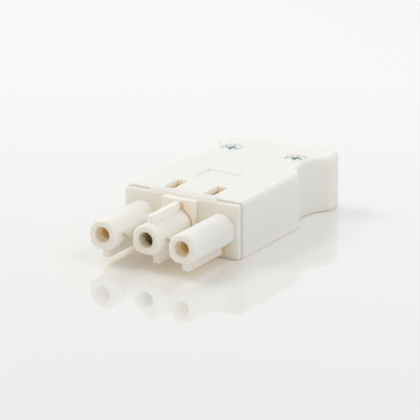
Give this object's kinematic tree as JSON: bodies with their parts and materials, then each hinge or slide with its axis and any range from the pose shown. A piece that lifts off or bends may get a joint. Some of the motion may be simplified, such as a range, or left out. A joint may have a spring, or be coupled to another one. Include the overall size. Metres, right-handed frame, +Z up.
{
  "type": "three-pin cable socket",
  "caption": "Flat white plastic cable socket with keyed contact tubes, a snap-in contact carrier, screw terminals and a screwed cable clamp in a waisted grip.",
  "frame": {"origin": "centre of the footprint, on the surface it lies on", "axes": "+X across the poles from line to neutral, +Y from the tubes to the cable end, +Z up out of the roof with the screws"},
  "size_m": [0.0292, 0.0628, 0.0131],
  "materials": {
    "white_plastic": "satin",
    "clamp_plastic": "satin",
    "brass": "turned",
    "cage_steel": "zinc plated",
    "zinc_steel": "zinc plated"
  },
  "bodies": {
    "socket_body": {"housing_sleeve": "white_plastic", "contact_carrier": "white_plastic", "contact_line": "brass", "contact_earth": "brass", "contact_neutral": "brass"},
    "clamp_screw_left": {"clamp_screw_left": "zinc_steel"},
    "clamp_screw_right": {"clamp_screw_right": "zinc_steel"},
    "cable_clamp": {"cable_clamp": "clamp_plastic"},
    "terminal_screw_line": {"terminal_screw_line": "zinc_steel"},
    "clamp_cage_line": {"clamp_cage_line": "cage_steel"},
    "terminal_screw_earth": {"terminal_screw_earth": "zinc_steel"},
    "clamp_cage_earth": {"clamp_cage_earth": "cage_steel"},
    "terminal_screw_neutral": {"terminal_screw_neutral": "zinc_steel"},
    "clamp_cage_neutral": {"clamp_cage_neutral": "cage_steel"}
  },
  "joints": [
    {"name": "clamp_screw_left_turn", "type": "hinge", "parent": "socket_body", "child": "clamp_screw_left", "pos_m": [-0.00835, 0.0224, 0.012], "axis": [0, 0, -1], "range_deg": [0, 2880]},
    {"name": "clamp_screw_right_turn", "type": "hinge", "parent": "socket_body", "child": "clamp_screw_right", "pos_m": [0.00835, 0.0224, 0.012], "axis": [0, 0, -1], "range_deg": [0, 2880]},
    {"name": "cable_clamp_lift", "type": "slide", "parent": "socket_body", "child": "cable_clamp", "axis": [0, 0, 1], "range_m": [0, 0.004]},
    {"name": "terminal_screw_line_turn", "type": "hinge", "parent": "socket_body", "child": "terminal_screw_line", "pos_m": [-0.01, -0.00015, 0.01], "axis": [0, 0, -1], "range_deg": [0, 1280]},
    {"name": "clamp_cage_line_lift", "type": "slide", "parent": "socket_body", "child": "clamp_cage_line", "axis": [0, 0, 1], "range_m": [0, 0.0016]},
    {"name": "terminal_screw_earth_turn", "type": "hinge", "parent": "socket_body", "child": "terminal_screw_earth", "pos_m": [0, -0.00015, 0.01], "axis": [0, 0, -1], "range_deg": [0, 1280]},
    {"name": "clamp_cage_earth_lift", "type": "slide", "parent": "socket_body", "child": "clamp_cage_earth", "axis": [0, 0, 1], "range_m": [0, 0.0016]},
    {"name": "terminal_screw_neutral_turn", "type": "hinge", "parent": "socket_body", "child": "terminal_screw_neutral", "pos_m": [0.01, -0.00015, 0.01], "axis": [0, 0, -1], "range_deg": [0, 1280]},
    {"name": "clamp_cage_neutral_lift", "type": "slide", "parent": "socket_body", "child": "clamp_cage_neutral", "axis": [0, 0, 1], "range_m": [0, 0.0016]}
  ],
  "couplings": [
    {"joint": "clamp_screw_left_turn", "follows": "cable_clamp_lift", "rad_per_m": 12566},
    {"joint": "clamp_screw_right_turn", "follows": "cable_clamp_lift", "rad_per_m": 12566},
    {"joint": "terminal_screw_line_turn", "follows": "clamp_cage_line_lift", "rad_per_m": 13963},
    {"joint": "terminal_screw_earth_turn", "follows": "clamp_cage_earth_lift", "rad_per_m": 13963},
    {"joint": "terminal_screw_neutral_turn", "follows": "clamp_cage_neutral_lift", "rad_per_m": 13963}
  ]
}
